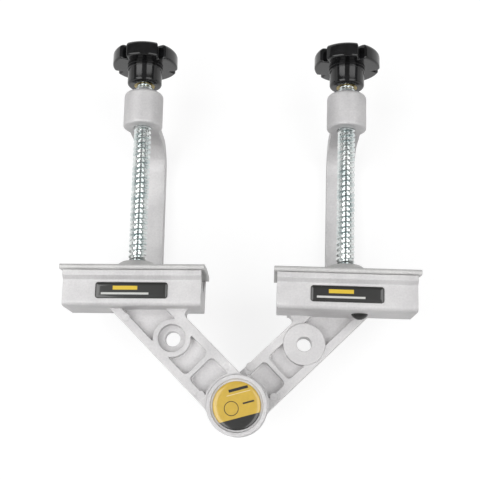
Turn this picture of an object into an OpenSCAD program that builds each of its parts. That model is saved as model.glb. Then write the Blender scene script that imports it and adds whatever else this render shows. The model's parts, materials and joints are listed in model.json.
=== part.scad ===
// Adjustable corner clamp that holds two tubes for welding.
// Two cast clamps turn on one pivot. Each has an arm, a fixed V jaw and a C-shaped spine,
// and a screw with a star knob that presses a flat jaw onto the tube.
// Lengths are in millimetres, angles in degrees. The clamp lies on the backs of its spines.

/* [Pivot] */
// Angle by which the two clamps stand open from a straight line
rest_opening = 1.4; // [0:0.1:20]
// Outer radius of the pivot hub
hub_r = 16.2; // [15:0.1:20]
// Radius of the recess that holds the round label
hub_recess_r = 14; // [13.3:0.1:14.5]
// Depth of that recess
hub_recess_depth = 2; // [1:0.1:3]
// Rise of the upper hub's rim above the tube's axis
hub_rise = 8; // [7.5:0.5:11.5]
// Radius of the pivot bolt
bolt_r = 5; // [4:0.5:6]
// Height of the bolt head
bolt_head_h = 6; // [4:0.5:7]
// Thickness of the friction washer between the hubs
washer_t = 0.8; // [0.5:0.1:1.5]
// Radius of the round label
round_label_r = 12.8; // [10:0.1:13]

/* [Arms] */
// Half of the arm's width
arm_half = 13.2; // [11:0.1:14.5]
// Thickness of each arm
arm_t = 10.5; // [8:0.5:12]
// Drop from the tube's axis to the underside of the lower arm
lower_arm_drop = 20.5; // [16.5:0.5:21.5]
// Drop from the tube's axis to the underside of the upper arm
upper_arm_drop = 4; // [2.5:0.5:5.5]
// Width of the rims beside the pockets
rim_w = 4.7; // [3:0.1:6]
// Depth of the pockets
pocket_depth = 4.2; // [2:0.1:6]
// Thickness of the cross rib
rib_t = 2.6; // [2:0.1:5]
// Distance of the cross rib from the pivot
rib_at = 29.2; // [27:0.1:33]
// Distance of the mounting hole from the pivot
hole_at = 50.2; // [47:0.1:53]
// Radius of the mounting hole
hole_r = 4.1; // [3:0.1:5]
// Radius of the boss round the upper arm's hole
upper_boss_r = 10.3; // [9:0.1:12]
// Radius of the counterbore in that boss
counterbore_r = 7.5; // [6:0.1:8.5]
// Depth of the counterbore
counterbore_depth = 4.4; // [3:0.1:6]
// Radius of the raised disc round the lower arm's hole
lower_boss_r = 11.6; // [10:0.1:12.5]
// Height of the raised disc above the lower arm
lower_boss_h = 1; // [0.5:0.1:2]

/* [Fixed jaw] */
// Distance of the jaw's inner end from the pivot, measured outwards
jaw_inner_x = 19.5; // [17:0.5:24]
// Length of the fixed jaw along the tube
jaw_len = 75; // [66:1:90]
// Distance of the jaw's outer side from the pivot
block_y = 51.5; // [50:0.5:58]
// Height of the jaw from that side to its seat
block_h = 19.2; // [18:0.1:24]
// Height of the tube's axis above the bench
axis_z = 49; // [42:0.5:56]
// Half of the jaw's depth at its seat
seat_half = 17.7; // [16.5:0.1:19]
// Width of each lip beside the V groove
lip_w = 3; // [2:0.1:4]
// Depth of the V groove
v_depth = 9.5; // [7:0.1:11]
// Width of the flat at the bottom of the V groove
v_flat = 2; // [1:0.1:4]
// Distance of the label face behind the front lip
face_inset = 2.2; // [1:0.1:3]
// Radius of the jaw's rounded front edge
nose_r = 2.5; // [1:0.1:4]

/* [Spine] */
// Width of the spine
spine_w = 17; // [14:0.5:20]
// Thickness of the spine
spine_t = 8; // [6:0.5:9]
// Distance from the seat to the screw boss
throat = 87.3; // [80:0.1:110]
// Radius of the screw boss
boss_r = 11.3; // [11.1:0.1:13]
// Length of the screw boss
boss_h = 21; // [16:0.5:26]
// Radius of the spine's inner bend at the boss
bend_r = 15; // [12:0.5:18]
// Thickness of the web that carries the boss
web_t = 6; // [4:0.5:9]

/* [Moving jaw] */
// Length of the moving jaw along the tube
plate_len = 78.6; // [70:0.2:94]
// Thickness of the moving jaw
plate_t = 3; // [2.5:0.1:4]
// Half of the moving jaw's depth
plate_half = 18.3; // [16.5:0.1:19]
// Rise of the moving jaw's middle above its long edges
plate_roof = 1; // [0.5:0.1:1.5]
// Height of the mound round the screw foot
mound_h = 3.3; // [3:0.1:5]
// Radius of the mound's base
mound_r = 16; // [14:0.5:17]
// Height of the two guide prongs
prong_h = 8; // [5:0.5:12]
// Width of each guide prong
prong_w = 4.5; // [3:0.5:6]

/* [Screw and knob] */
// Outer radius of the screw thread
screw_r = 5; // [4:0.5:5]
// Open stretch of screw between the boss and the knob when the jaws are closed
knob_gap = 5.3; // [4:0.1:12]
// Radius of the knob's neck
neck_r = 10; // [8:0.1:12]
// Length of the knob's neck
neck_h = 11.5; // [8:0.5:16]
// Radius of the knob at the tips of its lobes
knob_r = 19; // [16:0.5:22]
// Depth of the valleys between the lobes
valley = 4; // [3:0.1:6]
// Width of those valleys
valley_w = 2.4; // [2:0.1:4]
// Radius of the lobes' corners beside the valleys
lobe_corner_r = 1.8; // [1:0.1:2.4]
// Thickness of the knob's lobes
knob_h = 9.2; // [8:0.1:13]
// Radius of the brass insert in the knob
insert_r = 6; // [5.5:0.1:7]
// Turn of the left knob, seen from its end
left_knob_turn = 3; // [-36:1:36]
// Turn of the right knob, seen from its end
right_knob_turn = -11; // [-36:1:36]

/* [Labels and fasteners] */
// Length of the jaw labels
label_len = 39; // [30:0.5:50]
// Width of the jaw labels
label_w = 8.8; // [6:0.1:9.5]
// Thickness of the labels at their edges
label_t = 0.8; // [0.5:0.1:1.2]
// Distance of the button-head screw outwards from the clamp screw
button_at = 8; // [6:0.5:20]
// Radius of the button head
button_r = 4.6; // [3.5:0.1:5.5]

/* [Hidden] */

// Clearances
run_gap = 0.05;
fit_gap = 0.05;
free_gap = 0.3;
seat_gap = 0.2;

// Tube axis, jaw and spine places, measured from the pivot
axis_x = jaw_inner_x + jaw_len / 2;
seat_y = block_y + block_h;
lip_z = axis_z + seat_half;
back_lip_z = axis_z - seat_half;
face_z = lip_z - face_inset;
lip_h = 3;
hub_top_z = axis_z + hub_rise;
lower_arm_z = axis_z - lower_arm_drop;
upper_arm_z = axis_z - upper_arm_drop;
back_z = back_lip_z + 5.2;
v_half = seat_half - lip_w;
boss_y = seat_y + throat;
boss_top_y = boss_y + boss_h;
bend_y = boss_y - bend_r;
outer_bend_r = bend_r + 3;
outer_bend_y = boss_y + web_t - outer_bend_r;
web_fillet_r = 9;
web_fillet_z = axis_z - boss_r + 3 - web_fillet_r;
foot_r = 24;
foot_y = block_y + foot_r;
foot_wall_y = seat_y - 4;
foot_fillet_r = foot_r - spine_t;
foot_fillet_y = foot_wall_y + foot_fillet_r;

// Arm places
arm_angle = 45;
arm_reach = (block_y + block_h) * sqrt(2);
pocket_half = arm_half - rim_w;
pocket_corner_r = 2.5;
hub_wall = 1.5;
neck_fillet_r = 3;
hub_fillet_r = 8;
buttress_h = 14;
ejector_r = 2;
ejector_depth = 0.25;
ejector_spots = [[18.5, 10.6], [20, -10.6], [73, 10.7]];

// Pivot stack
lower_hub_top = lower_arm_z + arm_t + free_gap;
upper_hub_bottom = lower_hub_top + washer_t + 2 * run_gap;
label_seat_z = hub_top_z - hub_recess_depth;
bolt_head_r = bolt_r * 1.6;
bolt_head_z = label_seat_z - bolt_head_h - free_gap;
nut_washer_t = 1.5;
nut_h = 8;
nut_r = bolt_r * 1.96;
nut_washer_z = lower_arm_z - run_gap - nut_washer_t;
nut_z = nut_washer_z - nut_h;
bolt_end_z = nut_z - 1.5;
friction_washer_r = hub_r - 1.5;

// Moving jaw and screw foot
plate_y = seat_y + seat_gap;
plate_inner_x = axis_x - plate_len / 2;
mound_top_y = plate_y + plate_t + plate_roof + mound_h;
mound_land_r = 7.6;
socket_r = screw_r + free_gap;
socket_y = plate_y + plate_roof + 1.5;
clip_t = 1;
clip_y = socket_y + 2.2;
clip_r = screw_r + 1.4;
groove_r = screw_r - 1.4;
tip_r = screw_r - 0.3;
prong_back_z = 3;
prong_gap = 0.4;

// Knob and screw head
neck_y = boss_top_y + knob_gap;
lobes_y = neck_y + neck_h;
knob_top_y = lobes_y + knob_h;
insert_h = neck_h + 1;
shank_r = screw_r - 1;
collar_h = 2;
collar_extra = 0.5;
lobe_count = 5;
rim_extra = 0.3;
knob_bevel = 2.9;

// Button-head screw
button_h = 2.9;
button_shank_r = 2.5;
button_shank_h = 7;

// The origin lies under the middle of the whole clamp
half_opening = rest_opening / 2;
knob_top_r = knob_r + rim_extra - knob_bevel;
top_y = knob_top_y * cos(half_opening) - (axis_x - knob_top_r) * sin(half_opening);
centre_y = (top_y - hub_r) / 2;

// Placement of the pivot parts and of each clamp, whose own frame has the pivot at its origin
module at_pivot() {
    translate([0, -centre_y, 0]) children();
}

module right_side() {
    at_pivot() rotate([0, 0, -half_opening]) children();
}

module left_side() {
    at_pivot() mirror([1, 0, 0]) rotate([0, 0, -half_opening]) children();
}

// Turned parts on the screw's axis: the profile's x is a radius and its y runs along the screw
module on_screw_axis(y = 0) {
    translate([axis_x, y, axis_z]) rotate([-90, 0, 0]) rotate_extrude($fn = 72) children();
}

// Sections in the y-z plane, drawn along the tube from x = from over the given length
module along_tube(from, length) {
    translate([from, 0, 0]) rotate([90, 0, 90]) linear_extrude(length) children();
}

// Half section of a turned bar with rounded rims
module bar_section(r, h, top_r, bottom_r) {
    square([r - max(top_r, bottom_r), h]);
    translate([0, bottom_r]) square([r, h - top_r - bottom_r]);
    square([r - bottom_r, bottom_r + 0.01]);
    translate([0, h - top_r - 0.01]) square([r - top_r, top_r + 0.01]);
    translate([r - bottom_r, bottom_r]) circle(r = bottom_r, $fn = 48);
    translate([r - top_r, h - top_r]) circle(r = top_r, $fn = 48);
}

module rounded_box(x, y, r) {
    translate([r, 0]) square([x - 2 * r, y]);
    translate([0, r]) square([x, y - 2 * r]);
    for (cx = [r, x - r], cy = [r, y - r])
        translate([cx, cy]) circle(r = r, $fn = 40);
}

// Fixed jaw

module block_section() {
    chamfer_y = seat_y - lip_h;
    difference() {
        union() {
            polygon([
                [block_y, back_z],
                [block_y, face_z - nose_r],
                [block_y + nose_r, face_z],
                [chamfer_y - face_inset, face_z],
                [chamfer_y, lip_z],
                [seat_y, lip_z],
                [seat_y, back_lip_z]
            ]);
            translate([block_y + nose_r, face_z - nose_r]) circle(r = nose_r, $fn = 48);
        }
        polygon([
            [seat_y + 1, axis_z - v_half],
            [seat_y, axis_z - v_half],
            [seat_y - v_depth, axis_z - v_flat / 2],
            [seat_y - v_depth, axis_z + v_flat / 2],
            [seat_y, axis_z + v_half],
            [seat_y + 1, axis_z + v_half]
        ]);
    }
}

// Spine

module spine_section() {
    translate([foot_y, 0]) square([outer_bend_y - foot_y, spine_t]);
    foot_section();
    web_section();
}

// Foot that carries the spine down from the fixed jaw
module foot_section() {
    translate([block_y, foot_r]) square([foot_wall_y - block_y, back_z + 1 - foot_r]);
    difference() {
        union() {
            intersection() {
                translate([foot_y, foot_r]) circle(r = foot_r, $fn = 120);
                translate([block_y, 0]) square([foot_r, foot_r]);
            }
            translate([foot_wall_y, spine_t]) square([foot_fillet_r, foot_fillet_r]);
        }
        translate([foot_fillet_y, foot_r]) circle(r = foot_fillet_r, $fn = 96);
    }
}

// Bend at the spine's other end, and the web that rises from it to the boss
module web_section() {
    web_y = boss_y + web_t;
    difference() {
        union() {
            translate([bend_y, spine_t]) square([bend_r, bend_r]);
            intersection() {
                translate([outer_bend_y, outer_bend_r]) circle(r = outer_bend_r, $fn = 120);
                translate([outer_bend_y, 0]) square([outer_bend_r, outer_bend_r]);
            }
        }
        translate([bend_y, spine_t + bend_r]) circle(r = bend_r, $fn = 96);
    }
    translate([boss_y, outer_bend_r]) square([web_t, axis_z - outer_bend_r]);
    difference() {
        translate([boss_y, web_fillet_z])
            square([web_t + web_fillet_r, axis_z - web_fillet_z]);
        translate([web_y + web_fillet_r, web_fillet_z]) circle(r = web_fillet_r, $fn = 96);
    }
}

module boss_section() {
    bar_section(boss_r, boss_h, 2.4, 1.2);
}

// Arms

module neck_fillet_plan() {
    apex = [block_y - arm_half * sqrt(2), block_y];
    reach = neck_fillet_r / tan(arm_angle / 2);
    span = neck_fillet_r / sin(arm_angle / 2);
    difference() {
        polygon([
            apex + [1, 1],
            apex - [reach, -1],
            apex - [reach, 0],
            apex - reach * [cos(arm_angle), sin(arm_angle)]
        ]);
        translate(apex - span * [cos(arm_angle / 2), sin(arm_angle / 2)])
            circle(r = neck_fillet_r, $fn = 64);
    }
}

module hub_fillet_plan() {
    centre_v = arm_half + hub_fillet_r;
    centre_u = sqrt(pow(hub_r + hub_fillet_r, 2) - pow(centre_v, 2));
    touch = hub_r / (hub_r + hub_fillet_r);
    difference() {
        polygon([
            [0, arm_half - 1],
            [centre_u * touch, centre_v * touch],
            [centre_u, arm_half],
            [centre_u, arm_half - 1]
        ]);
        translate([centre_u, centre_v]) circle(r = hub_fillet_r, $fn = 96);
    }
}

module arm_plan(end_y) {
    circle(r = hub_r, $fn = 120);
    neck_fillet_plan();
    rotate(arm_angle) {
        hub_fillet_plan();
        mirror([0, 1]) hub_fillet_plan();
    }
    intersection() {
        rotate(arm_angle) translate([0, -arm_half]) square([2 * arm_reach, 2 * arm_half]);
        translate([-hub_r, -hub_r]) square([2 * arm_reach, end_y + hub_r]);
    }
}

module pocket_plan(boss) {
    rib_near = rib_at - rib_t / 2;
    rib_far = rib_at + rib_t / 2;
    difference() {
        rotate(arm_angle) {
            translate([0, -pocket_half])
                rounded_box(rib_near, 2 * pocket_half, pocket_corner_r);
            translate([rib_far, -pocket_half])
                rounded_box(hole_at - rib_far, 2 * pocket_half, pocket_corner_r);
            translate([hole_at, -pocket_half]) square([arm_reach, 2 * pocket_half]);
        }
        circle(r = hub_r + hub_wall, $fn = 96);
        rotate(arm_angle) translate([hole_at, 0]) circle(r = boss, $fn = 96);
        translate([0, block_y]) square([2 * arm_reach, 2 * arm_reach]);
    }
}

module at_mount_hole(z) {
    rotate([0, 0, arm_angle]) translate([hole_at, 0, z]) children();
}

module ejector_marks(top_z) {
    for (spot = ejector_spots)
        rotate([0, 0, arm_angle])
            translate([spot[0], spot[1], top_z - ejector_depth])
                cylinder(r = ejector_r, h = 1, $fn = 40);
}

module arm(z, end_y, boss) {
    difference() {
        translate([0, 0, z]) linear_extrude(arm_t) arm_plan(end_y);
        translate([0, 0, z + arm_t - pocket_depth])
            linear_extrude(pocket_depth + 1) pocket_plan(boss);
        ejector_marks(z + arm_t);
    }
}

// Jaw, spine and boss that both castings share
module clamp_body() {
    difference() {
        union() {
            along_tube(jaw_inner_x, jaw_len) block_section();
            along_tube(axis_x - spine_w / 2, spine_w) spine_section();
            on_screw_axis(boss_y) boss_section();
        }
        on_screw_axis(boss_y - 1) square([screw_r + fit_gap, boss_h + 2]);
    }
}

module upper_casting() {
    difference() {
        union() {
            clamp_body();
            arm(upper_arm_z, block_y + 2, upper_boss_r);
            translate([0, 0, upper_hub_bottom])
                cylinder(r = hub_r, h = hub_top_z - upper_hub_bottom, $fn = 120);
        }
        translate([0, 0, label_seat_z]) cylinder(r = hub_recess_r, h = hub_recess_depth + 1, $fn = 96);
        translate([0, 0, bolt_head_z])
            cylinder(r = bolt_head_r + free_gap, h = hub_top_z - bolt_head_z, $fn = 72);
        translate([0, 0, upper_hub_bottom - 1])
            cylinder(r = bolt_r + fit_gap, h = hub_top_z - upper_hub_bottom, $fn = 72);
        at_mount_hole(upper_arm_z - 1) cylinder(r = hole_r, h = arm_t + 2, $fn = 64);
        at_mount_hole(upper_arm_z + arm_t - counterbore_depth)
            cylinder(r = counterbore_r, h = counterbore_depth + 1, $fn = 72);
    }
}

module lower_casting() {
    difference() {
        union() {
            clamp_body();
            arm(lower_arm_z, block_y + buttress_h, lower_boss_r - 0.6);
            translate([0, 0, lower_arm_z])
                cylinder(r = hub_r, h = lower_hub_top - lower_arm_z, $fn = 120);
            at_mount_hole(lower_arm_z)
                cylinder(r = lower_boss_r, h = arm_t + lower_boss_h, $fn = 96);
        }
        translate([0, 0, lower_arm_z - 1])
            cylinder(r = bolt_r + fit_gap, h = lower_hub_top - lower_arm_z + 2, $fn = 72);
        at_mount_hole(lower_arm_z - 1) cylinder(r = hole_r, h = arm_t + lower_boss_h + 2, $fn = 64);
        button_screw_hole();
    }
}

// Moving jaw

module plate_section() {
    edge = plate_t / 2;
    front = axis_z + plate_half - edge;
    back = axis_z - plate_half + edge;
    polygon([
        [plate_y, back],
        [plate_y + plate_roof, axis_z],
        [plate_y, front],
        [plate_y + plate_t, front],
        [plate_y + plate_t + plate_roof, axis_z],
        [plate_y + plate_t, back]
    ]);
    for (z = [front, back])
        translate([plate_y + edge, z]) circle(r = edge, $fn = 40);
}

module mound_section() {
    steps = 10;
    base_y = plate_y + plate_t / 2;
    rise = mound_top_y - base_y;
    slope = [for (i = [0:steps])
        [
            mound_land_r + (mound_r - mound_land_r) * i / steps,
            base_y + rise * (1 + cos(180 * i / steps)) / 2
        ]
    ];
    polygon(concat([[0, base_y], [0, mound_top_y]], slope));
}

module guide_prong() {
    inner = spine_w / 2 + prong_gap;
    front_z = axis_z - plate_half + 4;
    translate([axis_x + inner, plate_y, prong_back_z])
        cube([prong_w, plate_t, front_z - prong_back_z]);
    translate([axis_x + inner, plate_y, prong_back_z + prong_w / 2])
        cube([prong_w, prong_h, front_z - prong_back_z - prong_w / 2]);
    translate([axis_x + inner + prong_w / 2, plate_y, prong_back_z + prong_w / 2])
        rotate([-90, 0, 0]) cylinder(r = prong_w / 2, h = prong_h, $fn = 40);
}

module moving_jaw() {
    difference() {
        union() {
            along_tube(plate_inner_x, plate_len) plate_section();
            on_screw_axis() mound_section();
            guide_prong();
            translate([2 * axis_x, 0, 0]) mirror([1, 0, 0]) guide_prong();
        }
        on_screw_axis(socket_y) square([socket_r, mound_top_y - socket_y + 1]);
        on_screw_axis(clip_y) square([clip_r + fit_gap, clip_t + fit_gap]);
    }
}

module jaw_clip() {
    on_screw_axis(clip_y + fit_gap / 2)
        translate([groove_r + free_gap, 0]) square([clip_r - groove_r - free_gap, clip_t]);
}

// Screw, insert and knob

module screw() {
    tip_y = socket_y + free_gap;
    groove_y = clip_y - 0.5;
    groove_h = clip_t + 1;
    thread_y = groove_y + groove_h + 1.5;
    on_screw_axis()
        polygon([
            [0, tip_y],
            [tip_r - 1.2, tip_y],
            [tip_r, tip_y + 1.2],
            [tip_r, groove_y],
            [groove_r, groove_y],
            [groove_r, groove_y + groove_h],
            [tip_r, groove_y + groove_h],
            [tip_r, thread_y],
            [screw_r, thread_y + screw_r - tip_r],
            [screw_r, neck_y],
            [shank_r, neck_y],
            [shank_r, neck_y + insert_h - 1],
            [shank_r - 1, neck_y + insert_h],
            [0, neck_y + insert_h]
        ]);
}

module knob_insert() {
    on_screw_axis(neck_y)
        translate([shank_r + fit_gap, 0]) square([insert_r - shank_r - fit_gap, insert_h]);
}

// One valley of the star, which lies on the x axis
module valley_plan() {
    half = valley_w / 2;
    corner_x = sqrt(pow(knob_r - lobe_corner_r, 2) - pow(half + lobe_corner_r, 2));
    outside = (knob_r + 2) / (knob_r - lobe_corner_r);
    translate([knob_r - valley + half, 0]) circle(r = half, $fn = 40);
    translate([knob_r - valley + half, -half]) square([valley, valley_w]);
    for (side = [-1, 1])
        let (corner = [corner_x, side * (half + lobe_corner_r)])
            difference() {
                polygon([[corner_x, 0], [knob_r + 2, 0], corner * outside, corner]);
                translate(corner) circle(r = lobe_corner_r, $fn = 48);
            }
}

module star_plan() {
    difference() {
        circle(r = knob_r, $fn = 120);
        for (i = [0:lobe_count - 1])
            rotate((i + 0.5) * 360 / lobe_count) valley_plan();
    }
}

// The lobes: the star's outline within a turned disc that rounds their rims
module lobes(turn) {
    intersection() {
        on_screw_axis(lobes_y) bar_section(knob_r + rim_extra, knob_h, knob_bevel, 1);
        translate([axis_x, lobes_y - 1, axis_z]) rotate([-90, 0, 0])
            rotate([0, 0, -90 + turn]) linear_extrude(knob_h + 2) star_plan();
    }
}

module knob(turn) {
    difference() {
        union() {
            lobes(turn);
            on_screw_axis(neck_y) bar_section(neck_r, neck_h + 1, 0.5, 1.6);
            on_screw_axis(lobes_y - collar_h)
                square([neck_r + collar_extra, collar_h + 1]);
        }
        on_screw_axis(neck_y - 1) square([insert_r + fit_gap, insert_h + 1 + fit_gap]);
    }
}

// Labels and fasteners

module jaw_label() {
    face_low = block_y + nose_r;
    face_high = seat_y - lip_h - face_inset;
    middle = (face_low + face_high) / 2;
    translate([axis_x - label_len / 2, middle - label_w / 2, face_z])
        linear_extrude(label_t) rounded_box(label_len, label_w, 1.5);
}

module round_label() {
    crown = 0.7;
    steps = 6;
    dome = [for (i = [0:steps])
        let (angle = 90 * i / steps)
            [round_label_r * (1 - 0.5 * (1 - cos(angle))), label_t + crown * sin(angle)]
    ];
    translate([0, 0, label_seat_z]) rotate_extrude($fn = 96)
        polygon(concat([[0, 0], [round_label_r, 0]], dome, [[0, label_t + crown]]));
}

module bolt() {
    socket_depth = 4;
    difference() {
        union() {
            translate([0, 0, bolt_head_z]) cylinder(r = bolt_head_r, h = bolt_head_h, $fn = 72);
            translate([0, 0, bolt_end_z])
                cylinder(r = bolt_r, h = bolt_head_z - bolt_end_z + 1, $fn = 72);
        }
        translate([0, 0, bolt_head_z + bolt_head_h - socket_depth])
            cylinder(r = bolt_r * 0.92, h = socket_depth + 1, $fn = 6);
    }
}

// A flat ring on the pivot axis
module ring(z, outer, inner, h) {
    translate([0, 0, z]) difference() {
        cylinder(r = outer, h = h, $fn = 96);
        translate([0, 0, -1]) cylinder(r = inner, h = h + 2, $fn = 72);
    }
}

module nut() {
    collar = 2;
    difference() {
        union() {
            translate([0, 0, nut_z + collar]) cylinder(r = nut_r, h = nut_h - collar, $fn = 6);
            translate([0, 0, nut_z]) cylinder(r = nut_r * 0.82, h = collar + 0.5, $fn = 72);
        }
        translate([0, 0, nut_z - 1]) cylinder(r = bolt_r + fit_gap, h = nut_h + 2, $fn = 72);
    }
}

// Frame for the button-head screw: z points into the jaw
module at_button_screw() {
    translate([axis_x + button_at, block_y, axis_z]) rotate([-90, 0, 0]) children();
}

module button_screw_hole() {
    at_button_screw() translate([0, 0, -1])
        cylinder(r = button_shank_r + fit_gap, h = button_shank_h + 1.5, $fn = 40);
}

module button_screw() {
    dome_r = (pow(button_r, 2) + pow(button_h, 2)) / (2 * button_h);
    at_button_screw() difference() {
        union() {
            intersection() {
                translate([0, 0, -button_h]) cylinder(r = button_r + 1, h = button_h, $fn = 64);
                translate([0, 0, dome_r - button_h]) sphere(r = dome_r, $fn = 96);
            }
            cylinder(r = button_shank_r, h = button_shank_h, $fn = 40);
        }
        translate([0, 0, -button_h - 1]) cylinder(r = 1.8, h = 2.6, $fn = 6);
    }
}

// Named pieces

module left_frame() {
    color([0.84, 0.83, 0.83]) left_side() upper_casting();
}

module right_frame() {
    color([0.80, 0.80, 0.80]) right_side() lower_casting();
}

module left_moving_jaw() {
    color([0.82, 0.81, 0.80]) left_side() moving_jaw();
}

module right_moving_jaw() {
    color([0.82, 0.81, 0.80]) right_side() moving_jaw();
}

module left_screw() {
    color([0.76, 0.80, 0.80]) left_side() screw();
}

module right_screw() {
    color([0.76, 0.80, 0.80]) right_side() screw();
}

module left_knob() {
    color([0.08, 0.08, 0.08]) left_side() knob(-left_knob_turn);
}

module right_knob() {
    color([0.08, 0.08, 0.08]) right_side() knob(right_knob_turn);
}

module left_knob_insert() {
    color([0.72, 0.62, 0.32]) left_side() knob_insert();
}

module right_knob_insert() {
    color([0.72, 0.62, 0.32]) right_side() knob_insert();
}

module left_jaw_clip() {
    color([0.35, 0.36, 0.38]) left_side() jaw_clip();
}

module right_jaw_clip() {
    color([0.35, 0.36, 0.38]) right_side() jaw_clip();
}

module left_jaw_label() {
    color([0.16, 0.16, 0.15]) left_side() jaw_label();
}

module right_jaw_label() {
    color([0.16, 0.16, 0.15]) right_side() jaw_label();
}

module pivot_label() {
    color([0.85, 0.72, 0.30]) at_pivot() round_label();
}

module pivot_bolt() {
    color([0.60, 0.61, 0.62]) at_pivot() bolt();
}

module pivot_washer() {
    color([0.70, 0.66, 0.50]) at_pivot()
        ring(lower_hub_top + run_gap, friction_washer_r, bolt_r + fit_gap, washer_t);
}

module pivot_nut_washer() {
    color([0.66, 0.67, 0.68]) at_pivot()
        ring(nut_washer_z, nut_r * 1.12, bolt_r + fit_gap, nut_washer_t);
}

module pivot_nut() {
    color([0.62, 0.63, 0.64]) at_pivot() nut();
}

module button_head_screw() {
    color([0.12, 0.12, 0.12]) right_side() button_screw();
}

left_frame();
right_frame();
left_moving_jaw();
right_moving_jaw();
left_screw();
right_screw();
left_knob();
right_knob();
left_knob_insert();
right_knob_insert();
left_jaw_clip();
right_jaw_clip();
left_jaw_label();
right_jaw_label();
pivot_label();
pivot_bolt();
pivot_washer();
pivot_nut_washer();
pivot_nut();
button_head_screw();
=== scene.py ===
"""Looks of the corner clamp: castings, threads, knobs, labels, light and camera."""

import json
import math
from contextlib import contextmanager

import bmesh
import bpy
from mathutils import Matrix, Vector


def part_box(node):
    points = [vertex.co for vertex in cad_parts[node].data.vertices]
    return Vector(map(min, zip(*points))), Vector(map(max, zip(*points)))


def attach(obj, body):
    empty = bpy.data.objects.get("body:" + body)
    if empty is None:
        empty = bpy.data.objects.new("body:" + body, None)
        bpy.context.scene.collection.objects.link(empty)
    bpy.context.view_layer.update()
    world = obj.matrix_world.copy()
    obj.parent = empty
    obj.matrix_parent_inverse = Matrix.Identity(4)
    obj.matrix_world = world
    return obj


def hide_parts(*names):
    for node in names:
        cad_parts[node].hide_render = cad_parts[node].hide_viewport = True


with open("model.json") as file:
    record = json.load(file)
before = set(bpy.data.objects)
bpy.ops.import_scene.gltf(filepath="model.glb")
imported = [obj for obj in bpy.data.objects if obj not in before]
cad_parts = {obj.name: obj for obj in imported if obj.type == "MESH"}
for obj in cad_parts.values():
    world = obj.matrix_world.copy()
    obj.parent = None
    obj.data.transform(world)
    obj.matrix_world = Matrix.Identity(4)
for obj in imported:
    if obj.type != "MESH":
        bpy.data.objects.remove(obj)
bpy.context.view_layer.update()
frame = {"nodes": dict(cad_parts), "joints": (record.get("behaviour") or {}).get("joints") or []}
nodes = frame["nodes"]
joints = {joint["name"]: joint for joint in frame["joints"]}
SIDES = ("left", "right")
MM = 0.001


def add_object(name, data):
    made = bpy.data.objects.new(name, data)
    bpy.context.scene.collection.objects.link(made)
    return made


# Camera of the photograph, fitted to the corners of the jaws

SENSOR_MM = 36
FOCAL_MM = 63.87
CAMERA_PLACE = Vector((18.33, -114.74, 512.5)) * MM
CAMERA_TILT = math.radians(-13.586)
CAMERA_PAN = math.radians(-2.356)
CAMERA_ROLL = math.radians(-1.472)


def add_camera():
    data = bpy.data.cameras.new("camera")
    data.sensor_width = SENSOR_MM
    data.lens = FOCAL_MM
    data.clip_start, data.clip_end = 0.01, 20
    camera = add_object("camera", data)
    tilt = Matrix.Rotation(CAMERA_TILT, 4, "X")
    pan = Matrix.Rotation(CAMERA_PAN, 4, "Y")
    roll = Matrix.Rotation(CAMERA_ROLL, 4, "Z")
    camera.matrix_world = Matrix.Translation(CAMERA_PLACE) @ (roll @ tilt @ pan).inverted()
    bpy.context.scene.camera = camera


# Materials

class Shader:
    """A node material round one principled shader, with short ways to add nodes."""

    def __init__(self, name, **values):
        self.material = bpy.data.materials.new(name)
        self.material.use_nodes = True
        self.tree = self.material.node_tree
        self.main = self.tree.nodes["Principled BSDF"]
        for key, value in values.items():
            self.main.inputs[key.replace("_", " ")].default_value = value

    def node(self, kind, inputs=(), **settings):
        made = self.tree.nodes.new(kind)
        for key, value in settings.items():
            setattr(made, key, value)
        for key, value in dict(inputs).items():
            self.feed(made.inputs[key], value)
        return made

    def feed(self, socket, value):
        """Links an output, or sets a number or a colour."""
        if isinstance(value, bpy.types.NodeSocket):
            self.tree.links.new(value, socket)
        elif isinstance(value, tuple) and len(value) == 3 and socket.type == "RGBA":
            socket.default_value = (*value, 1)
        else:
            socket.default_value = value

    def set(self, **values):
        for key, value in values.items():
            self.feed(self.main.inputs[key.replace("_", " ")], value)

    def place(self):
        return self.node("ShaderNodeTexCoord").outputs["Object"]

    def noise(self, scale, detail=2.0, roughness=0.5):
        inputs = {"Vector": self.place(), "Scale": scale, "Detail": detail, "Roughness": roughness}
        return self.node("ShaderNodeTexNoise", inputs).outputs["Fac"]

    def math(self, operation, first, second=0.0):
        return self.node("ShaderNodeMath", {0: first, 1: second}, operation=operation).outputs[0]

    def span(self, value, low, high, new_low=0.0, new_high=1.0):
        inputs = {"Value": value, "From Min": low, "From Max": high, "To Min": new_low, "To Max": new_high}
        return self.node("ShaderNodeMapRange", inputs).outputs["Result"]

    def mix(self, share, first, second):
        return self.node("ShaderNodeMix", {0: share, 6: first, 7: second}, data_type="RGBA").outputs[2]

    def bump(self, height, distance, strength=1.0, normal=None):
        inputs = {"Height": height, "Distance": distance, "Strength": strength}
        if normal:
            inputs["Normal"] = normal
        return self.node("ShaderNodeBump", inputs).outputs["Normal"]


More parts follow.
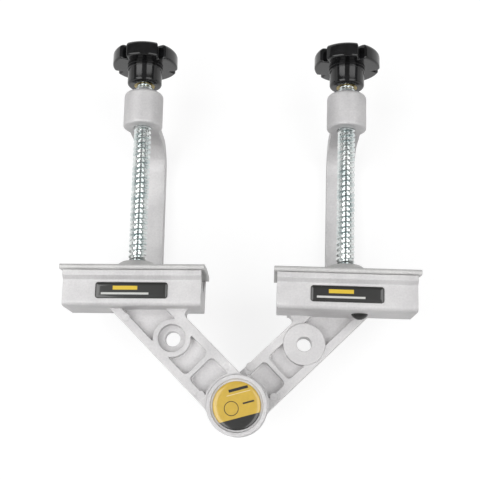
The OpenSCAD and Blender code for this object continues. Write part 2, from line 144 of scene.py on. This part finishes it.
def cast_aluminium(name, light, dark, pores):
    """Shot-blasted die casting: soft blotches, fine grain and a few pores."""
    s = Shader(name, Metallic=0.25)
    grain = s.noise(900, 3, 0.7)
    tone = s.math("ADD", s.math("MULTIPLY", s.noise(45, 3, 0.6), 0.6), s.math("MULTIPLY", grain, 0.4))
    blotch = s.mix(s.span(tone, 0.38, 0.62), dark, light)
    spots = s.node("ShaderNodeTexVoronoi", {"Vector": s.place(), "Scale": 160.0})
    draw = s.node("ShaderNodeSeparateColor", {0: spots.outputs["Color"]}).outputs[0]
    chosen = s.math("LESS_THAN", draw, pores)
    pit = s.math("MULTIPLY", s.span(spots.outputs["Distance"], 0.06, 0.1, 1, 0), chosen)
    s.set(Base_Color=s.mix(pit, blotch, (0.12, 0.115, 0.11)))
    s.set(Roughness=s.span(grain, 0.3, 0.7, 0.42, 0.56))
    fine = s.bump(grain, 0.00014, 0.8)
    waves = s.bump(s.noise(300, 3, 0.6), 0.0002, 0.5, fine)
    s.set(Normal=s.bump(s.math("SUBTRACT", 1.0, pit), 0.0003, 0.8, waves))
    return s.material


def zinc_plate():
    """Bright zinc with a faint blue and green tint."""
    s = Shader("zinc_plate", Metallic=1.0)
    s.set(Base_Color=s.mix(s.span(s.noise(160), 0.35, 0.65), (0.56, 0.62, 0.62), (0.80, 0.82, 0.81)))
    s.set(Roughness=s.span(s.noise(300, 3), 0.3, 0.7, 0.14, 0.22))
    return s.material


def black_phenolic():
    """Glossy black moulding with a faint unevenness."""
    s = Shader("black_phenolic", IOR=1.5)
    s.set(Base_Color=s.mix(s.span(s.noise(300), 0.35, 0.65), (0.004, 0.004, 0.004), (0.008, 0.008, 0.009)))
    s.set(Roughness=s.span(s.noise(260), 0.3, 0.7, 0.07, 0.15))
    s.set(Normal=s.bump(s.noise(140), 0.00012, 0.3))
    return s.material


def turned_metal(name, light, dark, roughness):
    """Turned or drawn metal with fine scratches."""
    s = Shader(name, Metallic=1.0)
    s.set(Base_Color=s.mix(s.span(s.noise(240, 3), 0.3, 0.7), dark, light))
    s.set(Roughness=s.span(s.noise(900), 0.3, 0.7, roughness - 0.06, roughness + 0.08))
    s.set(Normal=s.bump(s.noise(1600), 0.00003, 0.5))
    return s.material


def black_oxide():
    """Dull black coating on steel."""
    s = Shader("black_oxide", Metallic=0.6)
    s.set(Base_Color=s.mix(s.span(s.noise(260, 3), 0.3, 0.7), (0.012, 0.012, 0.012), (0.035, 0.034, 0.033)))
    s.set(Roughness=s.span(s.noise(600), 0.3, 0.7, 0.32, 0.46))
    s.set(Normal=s.bump(s.noise(1100), 0.00003, 0.5))
    return s.material


PRINT_MAP = "print"
PRINT_RIM = 0.06
LABEL_BLACK = (0.013, 0.013, 0.012)


class Print(Shader):
    """Print under clear domed resin: fields laid out in millimetres on the label's own plane."""

    def __init__(self, name, ground, turn=0.0):
        super().__init__(name, Roughness=0.35, Coat_Weight=1.0, Coat_Roughness=0.03, Coat_IOR=1.5)
        plane = self.node("ShaderNodeUVMap", uv_map=PRINT_MAP).outputs["UV"]
        turned = self.node("ShaderNodeVectorRotate", {"Vector": plane, "Angle": -turn}, rotation_type="Z_AXIS")
        split = self.node("ShaderNodeSeparateXYZ", {0: turned.outputs[0]})
        self.x, self.y = split.outputs["X"], split.outputs["Y"]
        cloud = self.span(self.noise(500), 0.3, 0.7, 0.92, 1.0)
        self.ink = self.mix(cloud, (0.0, 0.0, 0.0), ground)
        self.set(Base_Color=self.ink)

    def edge(self, value, half):
        """1 where the value's size is under half, with a soft rim."""
        return self.span(self.math("ABSOLUTE", value), half - PRINT_RIM, half + PRINT_RIM, 1, 0)

    def field(self, mask, colour):
        self.ink = self.mix(mask, self.ink, colour)
        self.set(Base_Color=self.ink)

    def bar(self, x, y, length, height, colour):
        along = self.edge(self.math("SUBTRACT", self.x, x), length / 2)
        across = self.edge(self.math("SUBTRACT", self.y, y), height / 2)
        self.field(self.math("MULTIPLY", along, across), colour)

    def ring(self, x, y, radius, width, colour):
        run = self.math("POWER", self.math("SUBTRACT", self.x, x), 2.0)
        rise = self.math("POWER", self.math("SUBTRACT", self.y, y), 2.0)
        away = self.math("SQRT", self.math("ADD", run, rise))
        self.field(self.edge(self.math("SUBTRACT", away, radius), width / 2), colour)


def jaw_label_print():
    """Black with two plain bars where the original has print."""
    s = Print("jaw_label_print", (0.012, 0.012, 0.011))
    s.bar(-3.3, 1.2, 13.2, 2.1, (0.75, 0.52, 0.03))
    s.bar(-3.4, -1.9, 25.6, 1.1, (0.62, 0.62, 0.60))
    return s.material


def round_label_print():
    """Yellow over a black segment, with plain bars and a ring where the original has print."""
    s = Print("round_label_print", (0.66, 0.44, 0.055), math.radians(15.9))
    s.bar(3.0, 8.2, 10.5, 1.5, LABEL_BLACK)
    s.bar(2.6, 6.0, 13.0, 0.35, (0.80, 0.68, 0.40))
    s.ring(-3.1, -0.8, 3.7, 0.4, LABEL_BLACK)
    s.bar(6.5, 0.2, 6.2, 0.9, LABEL_BLACK)
    s.bar(0.0, -16.4, 40.0, 20.0, LABEL_BLACK)
    return s.material


# Mesh helpers

def dress(mesh, material):
    mesh.materials.clear()
    mesh.materials.append(material)


def new_piece(name, mesh, material, body, replaced=(), place=None):
    piece = add_object(name, mesh)
    if place:
        piece.matrix_world = place
    dress(mesh, material)
    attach(piece, body)
    if replaced:
        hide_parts(*replaced)
    return piece


@contextmanager
def edited(mesh):
    """The mesh as a bmesh, written back when the block ends."""
    work = bmesh.new()
    work.from_mesh(mesh)
    yield work
    work.to_mesh(mesh)
    work.free()


def smooth_by_angle(mesh, degrees):
    """Smooth shading with edges sharper than the angle kept sharp."""
    limit = math.radians(degrees)
    with edited(mesh) as work:
        for face in work.faces:
            face.smooth = True
        for edge in work.edges:
            edge.smooth = edge.calc_face_angle(0.0) < limit


def mesh_of(points, faces):
    mesh = bpy.data.meshes.new("piece")
    mesh.from_pydata(points, [], faces)
    mesh.validate()
    return mesh


def ring_row(radius, y, steps):
    """Points of a ring round the y axis."""
    angles = [2 * math.pi * i / steps for i in range(steps)]
    return [(radius * math.cos(a), y, -radius * math.sin(a)) for a in angles]


def stitch(rows, closed=True):
    """Faces between rows of points that each have the same number of points."""
    width = len(rows[0])
    last = width if closed else width - 1
    return [
        (k * width + i, k * width + (i + 1) % width, (k + 1) * width + (i + 1) % width, (k + 1) * width + i)
        for k in range(len(rows) - 1) for i in range(last)
    ]


def end_faces(count, width, first=0):
    """The two faces that close a stack of rings, for rings of that width and a number of points."""
    return [tuple(range(first, first + width))[::-1], tuple(range(first + count - width, first + count))]


# Castings

COARSE = 1
CASTING_VOXEL, CASTING_KEEP = 0.3 * MM * COARSE, 0.18
JAW_VOXEL, JAW_KEEP = 0.28 * MM * COARSE, 0.28
RELAX_SHARE, RELAX_ROUNDS = 0.5, 2
WELD_LENGTH = 0.001 * MM


def soften(node, name, material, body, voxel, keep):
    """A moulded piece rebuilt as one even mesh whose edges and corners have small radii."""
    mesh = nodes[node].data.copy()
    with edited(mesh) as work:
        bmesh.ops.remove_doubles(work, verts=work.verts, dist=WELD_LENGTH)
    piece = new_piece(name, mesh, material, body, (node,))
    remesh = piece.modifiers.new("even", "REMESH")
    remesh.mode = "VOXEL"
    remesh.voxel_size = voxel
    relax = piece.modifiers.new("relax", "SMOOTH")
    relax.factor = RELAX_SHARE
    relax.iterations = RELAX_ROUNDS
    thin = piece.modifiers.new("thin", "DECIMATE")
    thin.ratio = keep
    graph = bpy.context.evaluated_depsgraph_get()
    mesh = bpy.data.meshes.new_from_object(piece.evaluated_get(graph))
    piece.modifiers.clear()
    piece.data = mesh
    dress(mesh, material)
    mesh.polygons.foreach_set("use_smooth", [True] * len(mesh.polygons))


# Places of the ejector pads and the height of the arm's rims, in millimetres
PAD_SPOTS = {
    "left": (((-61.6, -48.4), (-19.3, -89.1)), 55.5),
    "right": (((19.6, -88.2), (6.3, -72.0)), 39.0),
}
PAD_STEPS = 36
# Radius of a pad and its height from the arm's rims, from its foot in the metal to its top
PAD_PROFILE = ((2.3, -4.4), (2.3, 0.0), (2.15, 0.2))


def add_ejector_pads(side, material):
    spots, top = PAD_SPOTS[side]
    count = PAD_STEPS * len(PAD_PROFILE)
    points, faces = [], []
    for x, y in spots:
        first = len(points)
        for radius, rise in PAD_PROFILE:
            row = ring_row(radius, 0, PAD_STEPS)
            points += [((x + px) * MM, (y - pz) * MM, (top + rise) * MM) for px, _, pz in row]
        walls = stitch([range(PAD_STEPS)] * len(PAD_PROFILE))
        faces += [tuple(first + i for i in face) for face in walls]
        faces += end_faces(count, PAD_STEPS, first)
    mesh = mesh_of(points, faces)
    smooth_by_angle(mesh, 30)
    new_piece(f"{side}_ejector_pads", mesh, material, f"{side}_clamp")


# Screws

PITCH = 3 * MM
SCREW_R = 5 * MM
THREAD_DEPTH = 1.6 * MM
ROOT_R = SCREW_R - THREAD_DEPTH
CORE_R = ROOT_R - 0.1 * MM
TIP_LENGTH = 4.9 * MM
SHANK_LENGTH = 12.5 * MM
RUN_OUT = 1.1
THREAD_STEPS = 48
# Share of the pitch and share of the depth at each corner of the thread's outline
THREAD_PROFILE = (
    (0.00, 1.0), (0.16, 1.0), (0.21, 0.88), (0.32, 0.12),
    (0.38, 0.0), (0.78, 0.0), (0.84, 0.12), (0.95, 0.88),
)


def screw_axes(side):
    """Frame of the side's screw, with its y axis along the screw and its origin on the joint."""
    joint = joints[f"{side}_screw_turn"]
    along = Vector(joint["axis"]).normalized()
    forward = Vector((0, 0, 1))
    axes = Matrix((along.cross(forward), along, forward)).transposed().to_4x4()
    return Matrix.Translation(joint["pos_m"]) @ axes


def span_along(side, node):
    """Lowest and highest place of a node along its screw, from the joint's point."""
    inverse = screw_axes(side).inverted()
    places = [(inverse @ v.co).y for v in nodes[node].data.vertices]
    return min(places), max(places)


def thread_rows(start, end):
    """Rows of points of a right-hand thread, each one turn round, with cones at both ends."""
    turns = math.ceil((end - start) / PITCH) + 2
    rows = []
    for turn in range(-1, turns):
        for share, depth in THREAD_PROFILE:
            row = []
            for i in range(THREAD_STEPS + 1):
                y = start + PITCH * (turn + share + i / THREAD_STEPS)
                lead = max(min(y - start, end - y), 0)
                r = min(SCREW_R - depth * THREAD_DEPTH, ROOT_R + lead * RUN_OUT)
                angle = 2 * math.pi * i / THREAD_STEPS
                row.append((r * math.cos(angle), min(max(y, start), end), -r * math.sin(angle)))
            rows.append(row)
    return rows


def core_profile(low, start, end, high):
    """Radius and place along the screw of its grooved tip, core and shank, in metres."""
    tip = [(3.5, 0), (4.7, 1.2), (4.7, 1.4), (3.6, 1.4), (3.6, 3.4), (4.7, 3.4)]
    return [
        *((r * MM, low + y * MM) for r, y in tip), (4.7 * MM, start - 0.3 * MM),
        (CORE_R, start + 0.5 * MM), (CORE_R, end - 0.5 * MM),
        (4 * MM, end + 0.2 * MM), (4 * MM, high - 1 * MM), (3 * MM, high),
    ]


def add_screw(side, material):
    low, high = span_along(side, f"{side}_screw")
    start, end = low + TIP_LENGTH, high - SHANK_LENGTH
    rows = thread_rows(start, end)
    rings = [ring_row(r, y, THREAD_STEPS) for r, y in core_profile(low, start, end, high)]
    points = [p for row in rows for p in row]
    first = len(points)
    core = [p for row in rings for p in row]
    faces = stitch(rows, closed=False) + [tuple(first + i for i in face) for face in stitch(rings)]
    faces += end_faces(len(core), THREAD_STEPS, first)
    mesh = mesh_of(points + core, faces)
    with edited(mesh) as work:
        bmesh.ops.remove_doubles(work, verts=work.verts, dist=0.1 * WELD_LENGTH)
        bmesh.ops.dissolve_degenerate(work, dist=0.1 * WELD_LENGTH, edges=work.edges)
        bmesh.ops.recalc_face_normals(work, faces=work.faces)
    smooth_by_angle(mesh, 32)
    mesh.transform(screw_axes(side))
    new_piece(f"{side}_thread", mesh, material, f"{side}_spindle", (f"{side}_screw",))


# Knobs, in millimetres and degrees

LOBES = 5
KNOB_TURN = {"left": 1, "right": -14}
KNOB_STEPS = 300
TIP_R, VALLEY_R = 19.0, 15.0
LOBE_END, LOBE_SLOPE = 35.5, 8
NECK_R, COLLAR_R, BORE_R = 10.0, 10.5, 6.05
NECK_TOP = 11.5
KNOB_H = 20.7
BORE_DEPTH = 4.0
FOOT_ROUND = 1.6
COLLAR_ROUND = 0.4
UNDER_ROUND = 1.1
TOP_ROUND = 2.9


def star_radius(angle):
    """Radius of the star at an angle from a lobe's middle."""
    half = 180 / LOBES
    off = abs((angle + half) % (2 * half) - half)
    share = min(max((LOBE_END - off) / LOBE_SLOPE, 0), 1)
    return VALLEY_R + (TIP_R - VALLEY_R) * share * share * (3 - 2 * share)


def arc(centre_r, centre_y, radius, start, end, steps):
    """Radius and height of points on an arc of the profile."""
    angles = [math.radians(start + (end - start) * i / steps) for i in range(steps + 1)]
    return [(centre_r + radius * math.cos(a), centre_y + radius * math.sin(a)) for a in angles]


def neck_profile():
    """Radius and height of the knob's round part, from its bore to the root of the lobes."""
    return [
        (BORE_R, BORE_DEPTH), (BORE_R, 0.0), *arc(NECK_R - FOOT_ROUND, FOOT_ROUND, FOOT_ROUND, -90, 0, 8),
        (NECK_R, NECK_TOP - 2.3), *arc(COLLAR_R - COLLAR_ROUND, NECK_TOP - 1.6, COLLAR_ROUND, -90, 0, 4),
        (COLLAR_R, NECK_TOP - 0.15), (COLLAR_R + 0.15, NECK_TOP),
    ]


def rim_profile():
    """Reach beyond the star's outline, and height, of the lobes' rim."""
    return [
        (-2.5, NECK_TOP), *arc(-UNDER_ROUND, NECK_TOP + UNDER_ROUND, UNDER_ROUND, -90, 0, 8),
        (0.0, (NECK_TOP + KNOB_H) / 2),
        *arc(-TOP_ROUND, KNOB_H - TOP_ROUND, TOP_ROUND, 0, 90, 12), (-3.4, KNOB_H),
    ]


def add_knob(side, material):
    low, _ = span_along(side, f"{side}_knob")
    angles = [360 * i / KNOB_STEPS for i in range(KNOB_STEPS)]
    radii = [star_radius(a - KNOB_TURN[side]) for a in angles]
    rows = [[(r, y)] * KNOB_STEPS for r, y in neck_profile()]
    rows += [[(reach + r, y) for reach in radii] for r, y in rim_profile()]
    rows += [[(reach * 0.5, KNOB_H) for reach in radii], [(0.2, KNOB_H)] * KNOB_STEPS]
    points = []
    for row in rows:
        for angle, (r, y) in zip(angles, row):
            turn = math.radians(angle)
            points.append((r * math.sin(turn) * MM, low + y * MM, r * math.cos(turn) * MM))
    mesh = mesh_of(points, stitch(rows) + end_faces(len(points), KNOB_STEPS))
    with edited(mesh) as work:
        bmesh.ops.recalc_face_normals(work, faces=work.faces)
    smooth_by_angle(mesh, 40)
    mesh.transform(screw_axes(side))
    new_piece(f"{side}_star_knob", mesh, material, f"{side}_spindle", (f"{side}_knob",))


# Labels, in millimetres

JAW_LABEL_LENGTH, JAW_LABEL_WIDTH, JAW_LABEL_CORNER = 39, 8.8, 1.5
ROUND_LABEL_R = 12.8
ROUND_LABEL_STEPS = 96
CORNER_STEPS = 8
CORNER_MIN_R = 0.15
DOME_STEPS = 12
DOME_LAND = 0.3


def outline(length, width, corner, inset):
    """Rounded rectangle drawn in by the inset."""
    corner_r = max(corner - inset, CORNER_MIN_R)
    half_x, half_y = length / 2 - inset - corner_r, width / 2 - inset - corner_r
    points = []
    for quarter, (sx, sy) in enumerate(((1, 1), (-1, 1), (-1, -1), (1, -1))):
        for i in range(CORNER_STEPS + 1):
            angle = math.pi / 2 * (quarter + i / CORNER_STEPS)
            points.append((sx * half_x + corner_r * math.cos(angle), sy * half_y + corner_r * math.sin(angle)))
    return points


def dome_levels(edge_h, crown, reach):
    """Insets and heights of a resin dome's rings, from its foot to its crown."""
    levels = [(0.0, 0.0)]
    for i in range(DOME_STEPS + 1):
        angle = math.pi / 2 * i / DOME_STEPS
        levels.append((reach * (1 - math.cos(angle)), edge_h + crown * math.sin(angle)))
    levels.append((reach + DOME_LAND, edge_h + crown))
    return levels


def label_mesh(rings, heights):
    """A dome over the rings, with its plane kept as the print map."""
    points = [(x, y, z) for ring, z in zip(rings, heights) for x, y in ring]
    faces = stitch(rings) + end_faces(len(points), len(rings[0]))
    mesh = mesh_of([tuple(c * MM for c in p) for p in points], faces)
    layer = mesh.uv_layers.new(name=PRINT_MAP)
    for loop in mesh.loops:
        layer.data[loop.index].uv = points[loop.vertex_index][:2]
    smooth_by_angle(mesh, 50)
    return mesh


def label_seat(node):
    """Middle of a label's underside."""
    low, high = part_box(node)
    return Vector(((low[0] + high[0]) / 2, (low[1] + high[1]) / 2, low[2]))


def add_jaw_label(side, material):
    node = f"{side}_jaw_label"
    axes = screw_axes(side)
    axes.translation = label_seat(node)
    levels = dome_levels(0.35, 0.8, 2.4)
    rings = [outline(JAW_LABEL_LENGTH, JAW_LABEL_WIDTH, JAW_LABEL_CORNER, inset) for inset, _ in levels]
    mesh = label_mesh(rings, [z for _, z in levels])
    new_piece(f"{side}_label", mesh, material, f"{side}_clamp", (node,), axes)


def add_round_label(material):
    levels = dome_levels(0.4, 0.95, 3.4)
    rings = [
        [(x, -z) for x, _, z in ring_row(ROUND_LABEL_R - inset, 0, ROUND_LABEL_STEPS)] for inset, _ in levels
    ]
    mesh = label_mesh(rings, [z for _, z in levels])
    place = Matrix.Translation(label_seat("pivot_label"))
    new_piece("round_label", mesh, material, "left_clamp", ("pivot_label",), place)


# Floor and light

FLOOR_HALF = 9
WALL_R = 8
WALL_LEVELS = (-0.1, 3.2)
WALL_STEPS = 96
BOX_TARGET = Vector((0, -0.36, 0))
BOX_PLACE = {"left": Vector((-0.64, -0.36, 1.02)), "right": Vector((0.64, -0.36, 1.02))}
BOX_LENGTH, BOX_WIDTH = 1.6, 0.76
BOX_POWER = {"left": 10.8, "right": 8.6}
HORIZON_STRENGTH, ZENITH_STRENGTH = 0.1, 0.3


def pale(name, grey, glow, **values):
    """A dull surface that glows only for camera, glossy and transmission rays, so it lights nothing."""
    s = Shader(name, Base_Color=(grey, grey, grey, 1), Roughness=0.9, **values)
    path = s.node("ShaderNodeLightPath")
    mirror = s.math("MAXIMUM", path.outputs["Is Glossy Ray"], path.outputs["Is Transmission Ray"])
    seen = s.math("MAXIMUM", path.outputs["Is Camera Ray"], mirror)
    s.set(Emission_Color=(1.0, 1.0, 1.0), Emission_Strength=s.math("MULTIPLY", seen, glow))
    return s.material


def add_floor():
    half = FLOOR_HALF
    mesh = mesh_of([(-half, -half, 0), (half, -half, 0), (half, half, 0), (-half, half, 0)], [(0, 1, 2, 3)])
    dress(mesh, pale("floor_white", 0.26, 0.78))
    add_object("floor", mesh)


def add_backdrop():
    """A low round wall far behind the floor, as pale as the floor before it."""
    rows = [[(x, -z, y) for x, y, z in ring_row(WALL_R, level, WALL_STEPS)] for level in WALL_LEVELS]
    mesh = mesh_of([p for row in rows for p in row], stitch(rows))
    dress(mesh, pale("backdrop_white", 0.1, 0.83, Specular_IOR_Level=0.0))
    add_object("backdrop", mesh)


def add_softbox(side):
    data = bpy.data.lights.new(f"{side}_box", "AREA")
    data.shape = "RECTANGLE"
    data.size, data.size_y = BOX_LENGTH, BOX_WIDTH
    data.energy = BOX_POWER[side]
    lamp = add_object(f"{side}_box", data)
    lamp.location = BOX_PLACE[side]
    lamp.rotation_euler = (BOX_TARGET - BOX_PLACE[side]).to_track_quat("-Z", "Y").to_euler()


def add_world():
    """A white sky that fades towards the horizon."""
    world = bpy.data.worlds.new("studio")
    bpy.context.scene.world = world
    world.use_nodes = True
    sky, links = world.node_tree.nodes, world.node_tree.links
    split = sky.new("ShaderNodeSeparateXYZ")
    fade = sky.new("ShaderNodeMapRange")
    fade.inputs["To Min"].default_value = HORIZON_STRENGTH
    fade.inputs["To Max"].default_value = ZENITH_STRENGTH
    links.new(sky.new("ShaderNodeTexCoord").outputs["Generated"], split.inputs[0])
    links.new(split.outputs["Z"], fade.inputs["Value"])
    links.new(fade.outputs["Result"], sky["Background"].inputs["Strength"])
    sky["Background"].inputs["Color"].default_value = (1, 1, 1, 1)


# Build

add_camera()

CAST = cast_aluminium("cast_aluminium", (0.71, 0.70, 0.70), (0.58, 0.57, 0.575), 0.01)
JAW_CAST = cast_aluminium("jaw_aluminium", (0.68, 0.675, 0.665), (0.55, 0.545, 0.54), 0.05)
ZINC = zinc_plate()
PHENOLIC = black_phenolic()
# The brass colours are darkened to paint the shade under the knobs, where the inserts sit; the pivot washer
# shares this painted shade.
BRASS = turned_metal("brass", (0.44, 0.35, 0.14), (0.26, 0.20, 0.07), 0.28)
STEEL = turned_metal("steel", (0.56, 0.57, 0.58), (0.40, 0.41, 0.42), 0.32)
OXIDE = black_oxide()
JAW_PRINT = jaw_label_print()
ROUND_PRINT = round_label_print()

for side in SIDES:
    soften(
        f"{side}_frame", f"{side}_casting", CAST, f"{side}_clamp",
        CASTING_VOXEL, CASTING_KEEP
    )
    soften(
        f"{side}_moving_jaw", f"{side}_jaw_casting", JAW_CAST, f"{side}_jaw",
        JAW_VOXEL, JAW_KEEP
    )
    add_ejector_pads(side, CAST)
    add_knob(side, PHENOLIC)
    add_screw(side, ZINC)
    add_jaw_label(side, JAW_PRINT)
add_round_label(ROUND_PRINT)

for material, names in (
    (CAST, ("left_frame", "right_frame")),
    (JAW_CAST, ("left_moving_jaw", "right_moving_jaw")),
    (ZINC, ("left_screw", "right_screw", "pivot_nut_washer", "pivot_nut")),
    (PHENOLIC, ("left_knob", "right_knob", "left_jaw_label", "right_jaw_label", "pivot_label")),
    (BRASS, ("left_knob_insert", "right_knob_insert", "pivot_washer")),
    (STEEL, ("left_jaw_clip", "right_jaw_clip", "pivot_bolt")),
    (OXIDE, ("button_head_screw",)),
):
    for name in names:
        dress(nodes[name].data, material)

add_floor()
add_backdrop()
for side in SIDES:
    add_softbox(side)
add_world()
bpy.context.scene.view_settings.view_transform = "Standard"
